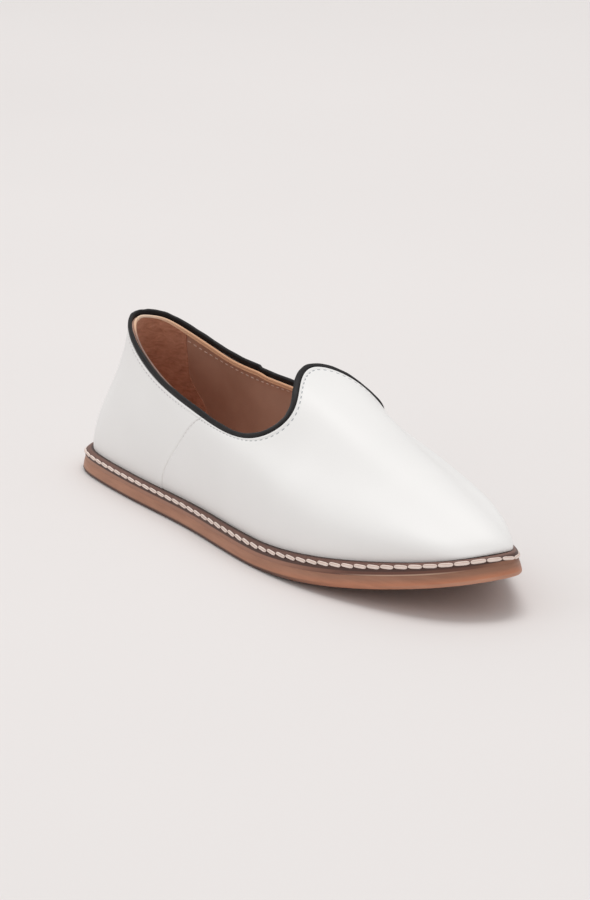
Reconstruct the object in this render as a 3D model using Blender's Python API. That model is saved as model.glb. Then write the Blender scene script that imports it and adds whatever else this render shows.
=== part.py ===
"""Right-foot flat slip-on shoe: rubber outsole, stitched leather midsole, white leather upper with a rounded
tongue peak, rolled binding round the collar, and a leather insole.

Frame: metres, +X towards the toe, +Y towards the medial (inner) side, +Z up.
The origin is on the floor, under the middle of the sole.
"""

import math
from collections import namedtuple

import bmesh
import bpy
import numpy as np

# Driving dimensions, in metres
SOLE_LENGTH = 0.255
BALL_WIDTH = 0.080
BACK_HEIGHT = 0.0616
TOE_SPRING = 0.0150

# Layers and clearances, in metres
OUTSOLE_THICKNESS = 0.0048
MIDSOLE_THICKNESS = 0.0036
WALL_THICKNESS = 0.0020
INSOLE_THICKNESS = 0.0020
WELT_REACH = 0.0036
SOLE_FLARE = 0.0005
BINDING_HEIGHT = 0.0023
BINDING_WIDTH = 0.0018
BINDING_PROUD = 0.0003
GAP = 0.0003

# The welt is narrower at the medial side of the toe: by how much, and round which angle of the outline
NARROW_WELT_CUT = 0.0016
NARROW_WELT_ANGLE = 205
NARROW_WELT_SPREAD = 28

# Heights over the outsole's underside at which each layer starts
MIDSOLE_BASE = OUTSOLE_THICKNESS + GAP
UPPER_BASE = MIDSOLE_BASE + MIDSOLE_THICKNESS + GAP

# The bottom is flat from the heel to this share of the length, and rises to the toe from there
SPRING_START = 0.60
SPRING_POWER = 1.7

# How far the sole's sides lean back where the bottom rises: 0 stays upright, 1 is square to the bottom
SIDE_LEAN = 0.5

# The outline runs round the sole by an angle: 0 at the heel end, 180 at the toe tip, which is a little to
# the lateral side. Its place along the shoe is half the length times 1 minus the angle's cosine. Half widths
# are shares of the ball width.
OutlineRow = namedtuple("OutlineRow", "angle lateral medial")
OUTLINE = (
    OutlineRow(0, 0.000, 0.000),
    OutlineRow(20, 0.245, 0.210),
    OutlineRow(40, 0.342, 0.326),
    OutlineRow(60, 0.388, 0.340),
    OutlineRow(80, 0.428, 0.342),
    OutlineRow(100, 0.503, 0.428),
    OutlineRow(120, 0.494, 0.470),
    OutlineRow(140, 0.382, 0.304),
    OutlineRow(160, 0.224, 0.130),
    OutlineRow(180, 0.014, -0.014),
)

# Each rib of the upper rises from the feather line, at the outline's angle foot, to the collar's edge. Top
# columns are shares of the sole length, ball width and back height. The other columns are the rib's two
# handles, in metres: rise and lean above and outside the foot, and ahead, out and drop from the top.
RibRow = namedtuple("RibRow", "foot top_along top_across top_height rise lean ahead out drop")
RIBS = (
    RibRow(0, 0.076, 0.000, 1.000, 0.018, -0.0010, 0.000, 0.0020, 0.020),
    RibRow(22, 0.096, 0.112, 0.988, 0.018, -0.0005, 0.000, 0.0022, 0.020),
    RibRow(44, 0.157, 0.212, 0.905, 0.018, 0.0010, 0.002, 0.0036, 0.018),
    RibRow(66, 0.255, 0.281, 0.781, 0.016, 0.0025, 0.006, 0.0045, 0.014),
    RibRow(90, 0.384, 0.338, 0.708, 0.016, 0.0030, 0.010, 0.0050, 0.009),
    RibRow(114, 0.530, 0.375, 0.693, 0.016, 0.0030, 0.022, 0.0060, 0.006),
    RibRow(140, 0.590, 0.262, 0.845, 0.0175, 0.0025, 0.034, 0.0032, 0.0244),
    RibRow(162, 0.567, 0.146, 1.003, 0.0070, 0.0010, 0.052, 0.0011, 0.0245),
    RibRow(180, 0.538, 0.000, 1.065, 0.0085, 0.0030, 0.061, 0.0000, 0.025),
)

# On the medial side the same ribs end at other tops, as shares of the ball width and back height
MedialTop = namedtuple("MedialTop", "foot across height")
MEDIAL_TOPS = (
    MedialTop(22, 0.109, 0.979),
    MedialTop(44, 0.206, 0.874),
    MedialTop(66, 0.272, 0.760),
    MedialTop(90, 0.328, 0.712),
    MedialTop(114, 0.364, 0.693),
    MedialTop(140, 0.260, 0.826),
    MedialTop(162, 0.143, 0.994),
)

# Each layer of the sole has an edge profile: how far its rings are inside the outline, or outside it below 0,
# and their heights over the outsole's underside
EdgeRow = namedtuple("EdgeRow", "inset height")
OUTSOLE_EDGE = (
    EdgeRow(0.0004, 0.0),
    EdgeRow(-SOLE_FLARE, 0.0009),
    EdgeRow(0.0001, OUTSOLE_THICKNESS - 0.0004),
    EdgeRow(0.0005, OUTSOLE_THICKNESS),
)
MIDSOLE_EDGE = (
    EdgeRow(0.0006, MIDSOLE_BASE),
    EdgeRow(0.0004, MIDSOLE_BASE + 0.0005),
    EdgeRow(0.0004, MIDSOLE_BASE + MIDSOLE_THICKNESS - 0.0009),
    EdgeRow(0.0012, MIDSOLE_BASE + MIDSOLE_THICKNESS),
)
INSOLE_INSET = WELT_REACH + WALL_THICKNESS + 4 * GAP
INSOLE_EDGE = (
    EdgeRow(INSOLE_INSET, UPPER_BASE),
    EdgeRow(INSOLE_INSET, UPPER_BASE + INSOLE_THICKNESS),
)

# How finely the pieces are faceted, and the angle in radians under which neighbouring facets are one face
AROUND = 96
UPPER_ROWS = 13
BINDING_SIDES = 10
FLAT_ANGLE = 0.00001


# Curves and outlines


def periodic_spline(values, places):
    """Smooth closed curve through equally spaced rows of values, read at places counted in rows."""
    rows = np.asarray(values, float)
    count = len(rows)
    matrix = 4 * np.eye(count) + np.roll(np.eye(count), 1, 0) + np.roll(np.eye(count), -1, 0)
    bends = np.linalg.solve(matrix, 6 * (np.roll(rows, -1, 0) - 2 * rows + np.roll(rows, 1, 0)))
    places = np.asarray(places, float) % count
    start = np.floor(places).astype(int) % count
    end = (start + 1) % count
    after = (places - np.floor(places)).reshape(-1, *[1] * (rows.ndim - 1))
    before = 1 - after
    straight = before * rows[start] + after * rows[end]
    return straight + ((before**3 - before) * bends[start] + (after**3 - after) * bends[end]) / 6


def outline_half_widths(angles):
    """Half width of the sole at each angle, above 0 on the lateral side and below 0 on the medial."""
    lateral = [row.lateral for row in OUTLINE]
    medial = [row.medial for row in OUTLINE]
    signed = lateral + [-width for width in medial[-2:0:-1]]
    step = OUTLINE[1].angle - OUTLINE[0].angle
    return BALL_WIDTH * periodic_spline(signed, np.asarray(angles, float) / step)


def outline(angles, inset=0.0):
    """Plan points of the sole's edge at angles in degrees, moved inwards by an inset."""
    angles = np.asarray(angles, float)

    def edge(at):
        along = SOLE_LENGTH / 2 * (1 - np.cos(np.radians(at)))
        return np.stack([along, -outline_half_widths(at)], -1)

    step = 0.5
    tangent = edge(angles + step) - edge(angles - step)
    inward = np.stack([-tangent[:, 1], tangent[:, 0]], -1)
    inward /= np.linalg.norm(inward, axis=1, keepdims=True)
    return edge(angles) + inset * inward


def bottom_height(along):
    """Height of the outsole's underside over the floor: flat, then rising to the toe."""
    share = np.clip((along / SOLE_LENGTH - SPRING_START) / (1 - SPRING_START), 0, None)
    return TOE_SPRING * share**SPRING_POWER


def raised(flat, height):
    """Plan points on the outsole's underside, moved up by a height and back with its slope."""
    step = 0.0005
    slope = (bottom_height(flat[:, 0] + step) - bottom_height(flat[:, 0] - step)) / (2 * step)
    back = SIDE_LEAN * slope * height
    return np.column_stack([flat[:, 0] - back, flat[:, 1], bottom_height(flat[:, 0]) + height])


def signed_ribs():
    """The rib table once round the shoe: heel end, lateral side, toe tip, medial side."""
    medial = []
    for row, top in zip(RIBS[-2:0:-1], reversed(MEDIAL_TOPS)):
        medial.append(row._replace(foot=360 - top.foot, top_across=-top.across, top_height=top.height))
    return list(RIBS) + medial


def foot_angles(places):
    """The outline's angle at the foot of the ribs at places counted in rows round the shoe."""
    rows = signed_ribs()
    turns = np.array([row.foot - 360 * k / len(rows) for k, row in enumerate(rows)])
    return periodic_spline(turns, places) + 360 * np.asarray(places, float) / len(rows)


def feather_inset(angles):
    """How far the upper's foot is inside the sole's outline: less at the medial side of the toe."""
    away = (angles - NARROW_WELT_ANGLE) / NARROW_WELT_SPREAD
    return (WELT_REACH - NARROW_WELT_CUT * np.exp(-(away**2)))[:, None]


def rib_curves(places):
    """The four control points of the ribs at places counted in rows round the shoe."""
    rows = signed_ribs()
    table = periodic_spline([row[1:] for row in rows], places)
    top_along, top_across, top_height, rise, lean, ahead, out, drop = table.T
    foot_angle = foot_angles(places)
    inset = feather_inset(foot_angle)
    flat_foot = outline(foot_angle, inset)
    outward = flat_foot - outline(foot_angle, inset + 0.001)
    outward /= np.linalg.norm(outward, axis=1, keepdims=True)
    foot = raised(flat_foot, UPPER_BASE)
    top = np.column_stack([SOLE_LENGTH * top_along, -BALL_WIDTH * top_across, BACK_HEIGHT * top_height])
    up = np.array([0.0, 0.0, 1.0])
    forward = np.array([1.0, 0.0, 0.0])
    sideways = np.column_stack([outward, np.zeros(len(outward))])
    low = foot + rise[:, None] * up + lean[:, None] * sideways
    high = top + ahead[:, None] * forward + out[:, None] * sideways - drop[:, None] * up
    return foot, low, high, top


def upper_surface(places, shares):
    """Outer face of the upper, a grid of points: places round the shoe by shares of the way up each rib."""
    foot, low, high, top = (points[:, None, :] for points in rib_curves(places))
    up = np.asarray(shares, float)[None, :, None]
    down = 1 - up
    return down**3 * foot + 3 * down**2 * up * low + 3 * down * up**2 * high + up**3 * top


def rim_frames(places):
    """Rim points of the upper's outer face, with the unit directions outwards and onwards from the edge."""
    grid = upper_surface(places, [0.98, 1.0])
    rim = grid[:, 1]
    along = np.roll(rim, -1, 0) - np.roll(rim, 1, 0)
    outward = np.cross(along, rim - grid[:, 0])
    onward = np.cross(outward, along)
    return rim, unit(outward), unit(onward)


def unit(vectors):
    """The vectors at length one."""
    return vectors / np.linalg.norm(vectors, axis=-1, keepdims=True)


# Point grids of the pieces


def upper_grid():
    """Rows of points once round the upper's wall: up the outer face and down the inner one."""
    places = np.arange(AROUND) * 2 * (len(RIBS) - 1) / AROUND
    outer = upper_surface(places, np.linspace(0, 1, UPPER_ROWS))
    around = np.roll(outer, -1, 0) - np.roll(outer, 1, 0)
    normals = unit(np.cross(around, np.gradient(outer, axis=1)))
    inner = outer - WALL_THICKNESS * normals
    angles = foot_angles(places)
    inner[:, 0] = raised(outline(angles, feather_inset(angles) + WALL_THICKNESS), UPPER_BASE)
    return np.concatenate([outer, inner[:, ::-1]], axis=1)


def binding_grid():
    """Rings of points round the binding, which rolls over the upper's rim."""
    places = np.arange(AROUND) * 2 * (len(RIBS) - 1) / AROUND
    rim, outward, onward = rim_frames(places)
    middle = rim + (BINDING_PROUD - BINDING_WIDTH / 2) * outward + (GAP + BINDING_HEIGHT / 2) * onward
    turn = np.arange(BINDING_SIDES) * 2 * math.pi / BINDING_SIDES
    across = BINDING_WIDTH / 2 * np.cos(turn)[None, :, None] * outward[:, None]
    upright = BINDING_HEIGHT / 2 * np.sin(turn)[None, :, None] * onward[:, None]
    return middle[:, None] + across + upright


def layer_rings(profile):
    """Outline rings of a sole layer, from its edge profile, bottom first."""
    angles = np.arange(AROUND) * 360 / AROUND
    rings = []
    for edge in profile:
        rings.append(raised(outline(angles, edge.inset), edge.height))
    return rings


# Blender objects


def ring_body(grid):
    """Points and faces of a ring-shaped body, from a grid that closes in both directions."""
    around, across = grid.shape[:2]
    faces = []
    for i in range(around):
        for j in range(across):
            after = (i + 1) % around * across
            over = (j + 1) % across
            faces.append((i * across + j, after + j, after + over, i * across + over))
    return grid.reshape(-1, 3), faces


def layer_body(rings):
    """Points and faces of a sole layer, from its stacked rings, closed below and above by strips across."""
    count = len(rings[0])
    last = (len(rings) - 1) * count
    faces = []
    for level in range(len(rings) - 1):
        for k in range(count):
            after = (k + 1) % count
            low = level * count
            faces.append((low + k, low + after, low + count + after, low + count + k))
    for k in range(count // 2):
        strip = [k, k + 1, (count - k - 1) % count, (count - k) % count]
        strip = list(dict.fromkeys(strip))
        faces.append(tuple(reversed(strip)))
        faces.append(tuple(last + corner for corner in strip))
    return np.concatenate(rings), faces


def leather_or_rubber(name, colour, roughness):
    """A plain material."""
    material = bpy.data.materials.new(name)
    material.use_nodes = True
    shader = material.node_tree.nodes["Principled BSDF"]
    shader.inputs["Base Color"].default_value = (*colour, 1.0)
    shader.inputs["Roughness"].default_value = roughness
    material.diffuse_color = (*colour, 1.0)
    return material


def add_piece(collection, name, body, material):
    """One closed piece of the shoe, moved so that the origin is under the middle of the sole."""
    points, faces = body
    sole = np.concatenate(layer_rings(OUTSOLE_EDGE))[:, :2]
    middle = (sole.min(0) + sole.max(0)) / 2
    mesh = bpy.data.meshes.new(name)
    mesh.from_pydata((points - [*middle, 0.0]).tolist(), [], faces)
    shape = bmesh.new()
    shape.from_mesh(mesh)
    bmesh.ops.recalc_face_normals(shape, faces=shape.faces)
    bmesh.ops.dissolve_limit(shape, angle_limit=FLAT_ANGLE, verts=shape.verts, edges=shape.edges)
    shape.to_mesh(mesh)
    shape.free()
    mesh.materials.append(material)
    collection.objects.link(bpy.data.objects.new(name, mesh))


def main():
    for item in list(bpy.data.objects):
        bpy.data.objects.remove(item)
    shoe = bpy.data.collections.new("flat_slip_on_shoe")
    bpy.context.scene.collection.children.link(shoe)
    add_piece(shoe, "outsole", layer_body(layer_rings(OUTSOLE_EDGE)),
              leather_or_rubber("caramel_rubber", (0.50, 0.24, 0.11), 0.55))
    add_piece(shoe, "midsole", layer_body(layer_rings(MIDSOLE_EDGE)),
              leather_or_rubber("brown_leather", (0.20, 0.09, 0.05), 0.5))
    add_piece(shoe, "insole", layer_body(layer_rings(INSOLE_EDGE)),
              leather_or_rubber("tan_leather", (0.42, 0.22, 0.12), 0.6))
    add_piece(shoe, "upper", ring_body(upper_grid()),
              leather_or_rubber("white_leather", (0.85, 0.84, 0.83), 0.4))
    add_piece(shoe, "collar_binding", ring_body(binding_grid()),
              leather_or_rubber("black_leather", (0.03, 0.03, 0.03), 0.45))


main()
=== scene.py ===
"""Looks of the right-foot flat slip-on shoe: white leather upper with a rolled black binding, brown lining
with a suede heel counter, a welt with plump cream stitches and a caramel rubber outsole, on a pale floor.

Frame: metres, +X towards the toe, +Y towards the medial (inner) side, +Z up.
The origin is on the floor, under the middle of the sole.
"""

import math
from collections import namedtuple

import bmesh
import bpy
import numpy as np
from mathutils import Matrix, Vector


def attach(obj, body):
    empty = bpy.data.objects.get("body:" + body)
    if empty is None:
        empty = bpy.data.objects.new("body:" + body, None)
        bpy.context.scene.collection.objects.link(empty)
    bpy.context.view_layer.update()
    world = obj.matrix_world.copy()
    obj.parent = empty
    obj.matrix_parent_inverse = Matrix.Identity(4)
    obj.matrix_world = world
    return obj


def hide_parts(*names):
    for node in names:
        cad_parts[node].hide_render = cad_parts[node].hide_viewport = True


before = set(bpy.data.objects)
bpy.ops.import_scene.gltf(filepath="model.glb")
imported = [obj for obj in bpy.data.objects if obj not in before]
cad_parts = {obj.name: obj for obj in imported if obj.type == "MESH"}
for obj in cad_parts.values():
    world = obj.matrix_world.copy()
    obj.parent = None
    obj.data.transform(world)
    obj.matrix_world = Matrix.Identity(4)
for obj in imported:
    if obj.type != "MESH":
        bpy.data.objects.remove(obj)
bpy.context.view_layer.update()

# Driving dimensions of the solids, in metres
SOLE_LENGTH = 0.255
BALL_WIDTH = 0.080
BACK_HEIGHT = 0.0616
TOE_SPRING = 0.0150

# Layers and clearances of the solids, in metres
OUTSOLE_THICKNESS = 0.0048
MIDSOLE_THICKNESS = 0.0036
WALL_THICKNESS = 0.0020
INSOLE_THICKNESS = 0.0020
WELT_REACH = 0.0036
SOLE_FLARE = 0.0005
FLARE_HEIGHT = 0.0009
BINDING_HEIGHT = 0.0023
BINDING_WIDTH = 0.0018
BINDING_PROUD = 0.0003
GAP = 0.0003
MIDSOLE_BASE = OUTSOLE_THICKNESS + GAP
MIDSOLE_TOP = MIDSOLE_BASE + MIDSOLE_THICKNESS
UPPER_BASE = MIDSOLE_TOP + GAP
INSOLE_INSET = WELT_REACH + WALL_THICKNESS + 4 * GAP

# The welt is narrower at the medial side of the toe: by how much, and round which angle of the outline
NARROW_WELT_CUT = 0.0016
NARROW_WELT_ANGLE = 205
NARROW_WELT_SPREAD = 28

# The bottom is flat from the heel to this share of the length, and rises to the toe from there
SPRING_START = 0.60
SPRING_POWER = 1.7

# How far the sole's sides lean back where the bottom rises: 0 stays upright, 1 is square to the bottom
SIDE_LEAN = 0.5

# The sole's outline by an angle, 0 at the heel end and 180 at the toe tip, as shares of the ball width
OutlineRow = namedtuple("OutlineRow", "angle lateral medial")
OUTLINE = (
    OutlineRow(0, 0.000, 0.000),
    OutlineRow(20, 0.245, 0.210),
    OutlineRow(40, 0.342, 0.326),
    OutlineRow(60, 0.388, 0.340),
    OutlineRow(80, 0.428, 0.342),
    OutlineRow(100, 0.503, 0.428),
    OutlineRow(120, 0.494, 0.470),
    OutlineRow(140, 0.382, 0.304),
    OutlineRow(160, 0.224, 0.130),
    OutlineRow(180, 0.014, -0.014),
)

# Ribs of the upper, from the feather line at the outline's angle foot to the collar's edge. Top columns are
# shares of the sole length, ball width and back height. The others are handles in metres: rise and lean at
# the foot, and ahead, out and drop from the top.
RibRow = namedtuple("RibRow", "foot top_along top_across top_height rise lean ahead out drop")
RIBS = (
    RibRow(0, 0.076, 0.000, 1.000, 0.018, -0.0010, 0.000, 0.0020, 0.020),
    RibRow(22, 0.096, 0.112, 0.988, 0.018, -0.0005, 0.000, 0.0022, 0.020),
    RibRow(44, 0.157, 0.212, 0.905, 0.018, 0.0010, 0.002, 0.0036, 0.018),
    RibRow(66, 0.255, 0.281, 0.781, 0.016, 0.0025, 0.006, 0.0045, 0.014),
    RibRow(90, 0.384, 0.338, 0.708, 0.016, 0.0030, 0.010, 0.0050, 0.009),
    RibRow(114, 0.530, 0.375, 0.693, 0.016, 0.0030, 0.022, 0.0060, 0.006),
    RibRow(140, 0.590, 0.262, 0.845, 0.0175, 0.0025, 0.034, 0.0032, 0.0244),
    RibRow(162, 0.567, 0.146, 1.003, 0.0070, 0.0010, 0.052, 0.0011, 0.0245),
    RibRow(180, 0.538, 0.000, 1.065, 0.0085, 0.0030, 0.061, 0.0000, 0.025),
)

# On the medial side the same ribs end at other tops, as shares of the ball width and back height
MedialTop = namedtuple("MedialTop", "foot across height")
MEDIAL_TOPS = (
    MedialTop(22, 0.109, 0.979),
    MedialTop(44, 0.206, 0.874),
    MedialTop(66, 0.272, 0.760),
    MedialTop(90, 0.328, 0.712),
    MedialTop(114, 0.364, 0.693),
    MedialTop(140, 0.260, 0.826),
    MedialTop(162, 0.143, 0.994),
)

# How many places there are round the shoe, one for each rib, and how many angles round the solid sole
PLACES = 2 * (len(RIBS) - 1)
SOLE_ANGLES = 96

# Small steps that directions are measured over, in degrees round the outline and in metres
ANGLE_STEP = 0.5
LENGTH_STEP = 0.001

# A stretch round the shoe: the places where it starts and ends, and over how many places each end is soft
Span = namedtuple("Span", "start rise end fall")

# Small waves round the shoe: their size, how many there are, and the angle that they start at
Wave = namedtuple("Wave", "size count start")

# Quarter seam: the place where it crosses each share of the wall's height, the column of the leather's grid
# that is bent along it, and the metres that one place covers there
SEAM_FOOT = 3.02
SEAM_SWING = 1.13
SEAM_BEND = 1.55
SEAM_COLUMN = 3.5
SEAM_SPREAD = 0.9
PLACE_PITCH = 0.034

# The seam's lap and groove, and the columns close to it, in metres. Even columns keep clear of those by a
# share of their own pitch.
SEAM_LAP = 0.0002
SEAM_LAP_FADE = 0.010
SEAM_SLOPE = 0.00015
SEAM_GROOVE = 0.0003
SEAM_GROOVE_SPREAD = 0.00022
SEAM_CLUSTER = (-0.0009, -0.0006, -0.0004, -0.0002, 0.0, 0.0002, 0.0004, 0.0006, 0.0009)
COLUMN_CLEARANCE = 0.25

# White leather, in metres: rows close to the rim and to the foot, and the ridge and stitch groove at the rim
LEATHER_THICKNESS = 0.0010
LEATHER_COLUMNS = 360
LEATHER_ROWS = 46
INNER_ROW_STEP = 6
RIM_DROPS = (0.0, 0.0003, 0.0006, 0.0009, 0.0012, 0.0015, 0.0018, 0.0021, 0.0025, 0.0030, 0.0037, 0.0046)
FOOT_RISES = (-0.00025, 0.0002, 0.0006, 0.0012, 0.0020, 0.0030)
STITCH_DROP = 0.0017
STITCH_GROOVE = 0.00014
RIDGE_DROP = 0.0007
RIDGE_HEIGHT = 0.00022
ROW_SPREAD = 0.0005

# The leather's foot is tucked in, most at the ball on the lateral side
FOOT_TUCK = 0.0001
BALL_TUCK = 0.0003
BALL_TUCK_PLACE = 5.0
BALL_TUCK_SPREAD = 1.3
FOOT_TUCK_REACH = 0.0012

# Soft troughs (negative) and swells of the upper: where, how far they reach in places and shares, how deep
FormRow = namedtuple("FormRow", "place share reach lift depth")
SOFT_FORMS = (
    FormRow(1.2, 0.55, 0.55, 0.22, -0.00045),
    FormRow(2.3, 0.60, 0.50, 0.25, 0.00035),
    FormRow(3.5, 0.45, 0.35, 0.30, -0.00030),
    FormRow(6.05, 0.64, 0.60, 0.26, 0.00150),
    FormRow(7.4, 0.09, 1.10, 0.09, -0.00060),
    FormRow(12.5, 0.45, 0.35, 0.30, -0.00030),
    FormRow(14.8, 0.55, 0.55, 0.22, -0.00040),
)

# Lining: its depths inwards from the upper's outer face and its heights over the rim, in metres. It reaches
# down a share of the wall's height, in rows that are crowded towards the rim.
LINING_BACK = 0.0012
LINING_FACE = 0.0021
LINING_TOP = 0.0002
LINING_REACH = 0.985
LINING_COLUMNS = 240
LINING_ROWS = 28
ROW_CROWDING = 1.6

# The lining's lip stands higher on the lateral side, and leans inwards from a start under the rim
LIP_MEDIAL = 0.0009
LIP_LATERAL = 0.0014
LIP_SPAN = Span(0.3, 1.4, 6.6, 1.4)
LIP_FLARE = 0.0003
FLARE_START = 0.006

# Cut edge of the lining: a rounded strip that is broad on the medial side, with painted shade on the lateral
# side and cream at the heel, with a nick near there. A share of its height covers the lining.
EDGE_THICKNESS = 0.0009
EDGE_HEIGHT = 0.0010
EDGE_HEIGHT_MEDIAL = 0.0018
EDGE_BROAD = Span(9.5, 1.0, 14.0, 1.2)
EDGE_SHADE_SPAN = Span(1.2, 0.7, 7.0, 1.0)
EDGE_CREAM_REACH = 1.2
EDGE_COVER = 0.6
EDGE_DEPTH = 0.0022
EDGE_SIDES = 16
EDGE_SQUARENESS = 4.0
EDGE_LEAN = 0.0004
EDGE_WAVES = (Wave(0.00012, 7, 0), Wave(0.00008, 13, 1))
NICK_PLACE = 0.62
NICK_SPREAD = 0.05
NICK_DEPTH = 0.0004

# Suede counter inside the heel: its front edges as places from the heel's middle, with the shares of the
# wall's height where they swing forwards
COUNTER_EDGE = 1.60
COUNTER_SWING = 0.36
COUNTER_SWING_TOP = 0.66
COUNTER_SWING_SPREAD = 0.40
COUNTER_TIP = 0.06
COUNTER_TIP_START = 0.90
COUNTER_TIP_SPREAD = 0.10
COUNTER_DROP = 0.0006
COUNTER_THICKNESS = 0.0004
COUNTER_COLUMNS = 110
COUNTER_ROWS = 34

# Stitch row inside the collar: places and shares of the wall's height that it runs through on the medial side
RowPoint = namedtuple("RowPoint", "place share")
LINING_ROW = (
    RowPoint(12.30, 0.930),
    RowPoint(12.85, 0.925),
    RowPoint(13.20, 0.925),
    RowPoint(13.52, 0.925),
    RowPoint(13.98, 0.922),
    RowPoint(14.38, 0.930),
)

# Rolled binding: slimmer on the lateral side, and lapped on the medial side, where the lining's lip rises
# with it from a little ahead
BINDING_COLUMNS = 560
BINDING_SIDES = 28
BINDING_SQUARENESS = 2.6
BINDING_PLUMP = 0.99
BINDING_WAVES = (Wave(0.02, 29, 0), Wave(0.015, 47, 1))
BINDING_FOOT = 0.00003
BINDING_SLIMMING = 0.16
BINDING_SLIM = Span(0.5, 0.7, 4.6, 0.8)
LAP_PLACE = 12.78
LAP_HEIGHT = 0.0010
LAP_LENGTH = 0.65
LAP_LEAD = 1 / 3
LIP_UNDER_LAP = 0.9

# The binding stands out more where it runs down the tongue's medial flank
FLANK_PROUD = 0.0006
FLANK_PLACE = 10.0
FLANK_SPREAD = 0.45

# Where the binding has a painted grey sheen: the place on the tongue, the turn round its section, how far
# each reaches
PAINTED_SHEEN_PLACE = 5.9
PAINTED_SHEEN_SPREAD = 0.7
PAINTED_SHEEN_TURN = 0.9
PAINTED_SHEEN_WIDTH = 0.75

# Edge profiles of the sole's layers: insets from the outline and heights over the outsole's underside. Tones
# are -1 for the welt's lower line, with a painted pale highlight at the toe, 0 for its side, 1 for the
# painted shade under its stitches, 2 for its top and 3 for the painted shade in the crease along the upper.
# Rise is the share of the welt's rise that a row takes.
EdgeRow = namedtuple("EdgeRow", "inset height tone rise", defaults=(0, 0.0))
SOLE_COLUMNS = 720
OUTSOLE_EDGE = (
    EdgeRow(0.0006, 0.0),
    EdgeRow(0.0001, 0.0001),
    EdgeRow(-0.0003, 0.0004),
    EdgeRow(-SOLE_FLARE, FLARE_HEIGHT),
    EdgeRow(-0.0004, 0.0016),
    EdgeRow(-0.0002, 0.0027),
    EdgeRow(0.0000, 0.0037),
    EdgeRow(0.0002, OUTSOLE_THICKNESS - 0.0006),
    EdgeRow(0.0003, OUTSOLE_THICKNESS - 0.0001),
    EdgeRow(0.0004, OUTSOLE_THICKNESS),
)
MIDSOLE_EDGE = (
    EdgeRow(0.0004, MIDSOLE_BASE - 0.95 * GAP, -1),
    EdgeRow(0.0004, MIDSOLE_BASE + 0.0001, -1),
    EdgeRow(0.0004, MIDSOLE_BASE + 0.0003, 0),
    EdgeRow(0.0004, MIDSOLE_TOP - 0.0025, 0),
    EdgeRow(0.0004, MIDSOLE_TOP - 0.0022, 1),
    EdgeRow(0.0005, MIDSOLE_TOP - 0.0013, 1),
    EdgeRow(0.0006, MIDSOLE_TOP - 0.0010, 1),
    EdgeRow(0.0009, MIDSOLE_TOP - 0.0007, 1),
    EdgeRow(0.0013, MIDSOLE_TOP - 0.0004, 2),
    EdgeRow(0.0018, MIDSOLE_TOP - 0.0001, 2),
    EdgeRow(0.0023, MIDSOLE_TOP, 2, 0.3),
    EdgeRow(0.0026, MIDSOLE_TOP, 2, 0.6),
    EdgeRow(0.0030, MIDSOLE_TOP, 3, 0.9),
    EdgeRow(0.0037, MIDSOLE_TOP, 3, 1.0),
    EdgeRow(0.0042, MIDSOLE_TOP, 3),
    EdgeRow(0.0050, MIDSOLE_TOP, 3),
)
INSOLE_EDGE = (
    EdgeRow(INSOLE_INSET + 0.0002, UPPER_BASE),
    EdgeRow(INSOLE_INSET, UPPER_BASE + 0.0003),
    EdgeRow(INSOLE_INSET, UPPER_BASE + INSOLE_THICKNESS - 0.0006),
    EdgeRow(INSOLE_INSET + 0.0002, UPPER_BASE + INSOLE_THICKNESS - 0.0002),
    EdgeRow(INSOLE_INSET + 0.0007, UPPER_BASE + INSOLE_THICKNESS),
)

# The welt rises against the upper along the lateral ball: how far, and round which angle of the outline
WELT_RISE = 0.0009
WELT_RISE_ANGLE = 118
WELT_RISE_SPREAD = 26

# Ripple tread under the forefoot and heel: land and ramp are shares of a ripple's height, and the margin to
# the sole's edge is also held to a share of the width
TREAD_PITCH = 0.0070
TREAD_DEPTH = 0.0007
TREAD_LAND = 0.3
TREAD_RAMP = 0.5
TREAD_MARGIN = 0.006
TREAD_MARGIN_SHARE = 0.3
TREAD_WALL = 0.0006
TREAD_ZONES = ((-0.118, -0.060), (-0.010, 0.090))

# Stitch rows: how far apart, and each stitch's length, width and height
StitchKind = namedtuple("StitchKind", "pitch length width height")
WELT_STITCH = StitchKind(0.0058, 0.0056, 0.0015, 0.0014)
COLLAR_STITCH = StitchKind(0.0025, 0.0014, 0.0006, 0.0004)
SEAM_STITCH = StitchKind(0.0022, 0.0011, 0.0004, 0.0003)
LINING_STITCH = StitchKind(0.0030, 0.0017, 0.0005, 0.0004)
COLLAR_STITCH_DEPTH = 0.0002
COLLAR_GREY_REACH = 5.0
SEAM_STITCH_DEPTH = 0.0001
SEAM_STITCH_START = 0.62
SEAM_STITCH_END = 0.95
WELT_STITCH_INSET = 0.0005
WELT_STITCH_TILT = math.radians(52)

# The welt stitches by the outline's angle: how far under the midsole's top they lie, their slant in degrees,
# and their size as a share of the full one
WeltRow = namedtuple("WeltRow", "angle drop slant size")
WELT_ROWS = (
    WeltRow(0, 0.0020, 0, 0.75),
    WeltRow(18, 0.0016, 0, 0.75),
    WeltRow(30, 0.0009, 3, 0.75),
    WeltRow(80, 0.0006, 5, 0.80),
    WeltRow(108, 0.0003, 8, 0.82),
    WeltRow(135, 0.0006, 6, 0.95),
    WeltRow(168, 0.0010, 0, 1.00),
    WeltRow(178, 0.0015, 0, 0.90),
    WeltRow(186, 0.0022, 0, 0.90),
    WeltRow(235, 0.0022, -4, 0.90),
    WeltRow(260, 0.0008, -8, 0.82),
    WeltRow(325, 0.0010, -3, 0.75),
    WeltRow(345, 0.0020, 0, 0.75),
    WeltRow(360, 0.0020, 0, 0.75),
)
STITCH_RINGS = 11
STITCH_SIDES = 12
STITCH_FULLNESS = 5.0
STITCH_CLEFT = 0.20
CLEFT_SPREAD = 0.4

# How finely the paths are measured that stitches are spaced along
COLLAR_STEPS = 1600
WELT_STEPS = 2880
ROW_STEPS = 200

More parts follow.
